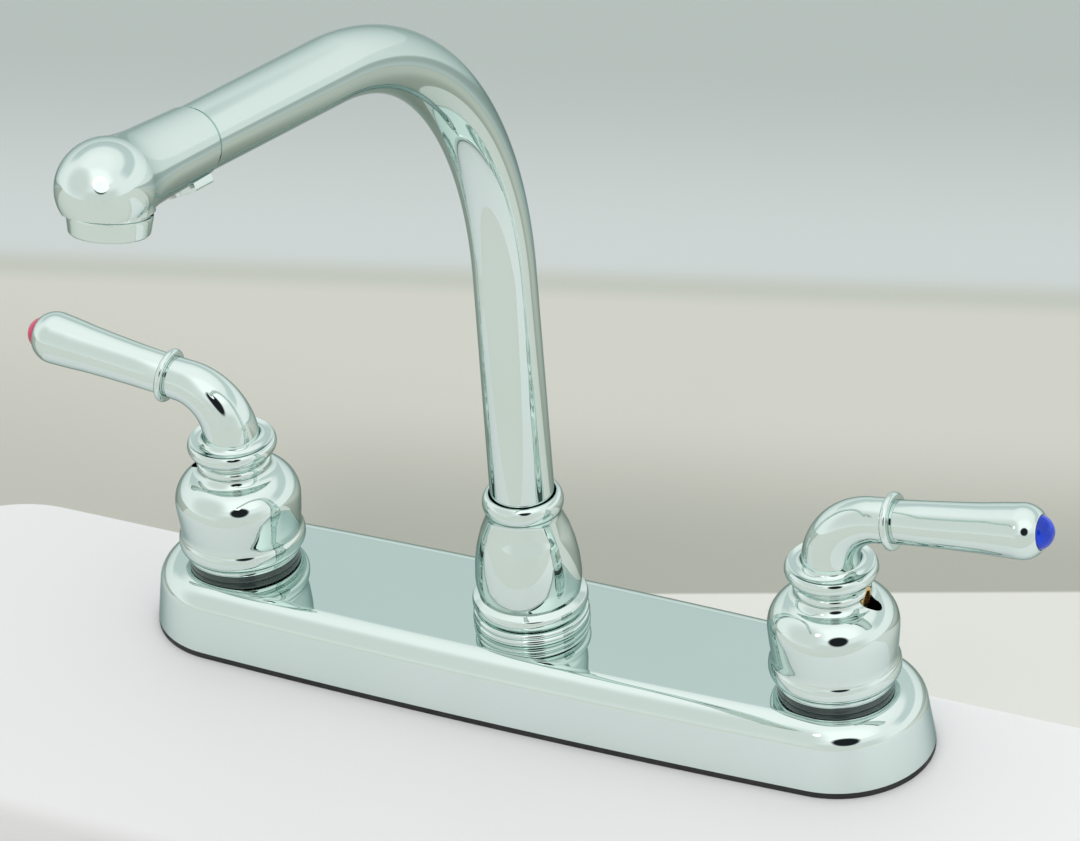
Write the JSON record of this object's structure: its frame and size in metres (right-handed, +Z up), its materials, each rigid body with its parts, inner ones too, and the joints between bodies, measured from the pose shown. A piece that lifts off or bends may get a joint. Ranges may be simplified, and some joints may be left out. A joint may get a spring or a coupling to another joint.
{
  "type": "two handle kitchen faucet",
  "caption": "Deck mounted kitchen faucet with a high swivel spout on a long plate and a hot and a cold lever handle.",
  "frame": {"origin": "underside of the deck gasket, where the faucet rests on the sink deck, on the axis the spout turns about", "axes": "+Z up along the spout's post, -Y to the front where the user stands and the spout points at rest, +X to the cold side along the deck plate"},
  "size_m": [0.3434, 0.2477, 0.3426],
  "materials": {
    "chrome": "polished chrome plate",
    "brass": "machined brass",
    "copper": "drawn copper tube",
    "steel": "plain stainless",
    "black_rubber": "moulded rubber",
    "dark_ring": "dark moulded plastic",
    "nylon": "moulded nylon",
    "ceramic": "lapped ceramic",
    "white_plastic": "moulded plastic",
    "cold_button": "clear coated blue",
    "hot_button": "clear coated red"
  },
  "bodies": {
    "base": {"cold_valve_body": "brass", "cold_seat_seal": "black_rubber", "cold_fixed_disc": "ceramic", "cold_cartridge": "brass", "cold_bonnet_nut": "brass", "cold_plate_nut": "brass", "cold_base_ring": "dark_ring", "cold_mounting_washer": "steel", "cold_mounting_nut": "nylon", "cold_cross_tube": "copper", "hot_valve_body": "brass", "hot_seat_seal": "black_rubber", "hot_fixed_disc": "ceramic", "hot_cartridge": "brass", "hot_bonnet_nut": "brass", "hot_plate_nut": "brass", "hot_base_ring": "dark_ring", "hot_mounting_washer": "steel", "hot_mounting_nut": "nylon", "hot_cross_tube": "copper", "deck_plate": "chrome", "deck_gasket": "black_rubber", "spout_hub": "brass", "spout_base_ring": "chrome", "spout_bell": "chrome", "wear_ring": "nylon"},
    "spout": {"spout_tail": "brass", "tail_o_rings": "black_rubber", "glide_ring": "nylon", "spout_tube": "chrome", "spout_head": "chrome", "head_seal": "black_rubber", "head_tab": "chrome", "head_screw": "steel", "aerator_housing": "chrome", "aerator_insert": "white_plastic", "aerator_screen": "steel", "aerator_washer": "black_rubber"},
    "cold_handle": {"cold_moving_disc": "ceramic", "cold_stem": "brass", "cold_stem_o_ring": "black_rubber", "cold_handle_bell": "chrome", "cold_set_screw": "brass", "cold_lever_elbow": "chrome", "cold_bead_ring": "chrome", "cold_grip": "chrome", "cold_grip_screw": "steel", "cold_index_button": "cold_button"},
    "hot_handle": {"hot_moving_disc": "ceramic", "hot_stem": "brass", "hot_stem_o_ring": "black_rubber", "hot_handle_bell": "chrome", "hot_set_screw": "brass", "hot_lever_elbow": "chrome", "hot_bead_ring": "chrome", "hot_grip": "chrome", "hot_grip_screw": "steel", "hot_index_button": "hot_button"}
  },
  "joints": [
    {"name": "spout_swivel", "type": "hinge", "parent": "base", "child": "spout", "pos_m": [0, 0, 0], "axis": [0, 0, 1], "continuous": true},
    {"name": "cold_valve_turn", "type": "hinge", "parent": "base", "child": "cold_handle", "pos_m": [0.1016, 0, 0], "axis": [0, 0, 1], "range_deg": [-90, 0]},
    {"name": "hot_valve_turn", "type": "hinge", "parent": "base", "child": "hot_handle", "pos_m": [-0.1016, 0, 0], "axis": [0, 0, 1], "range_deg": [0, 90]}
  ]
}
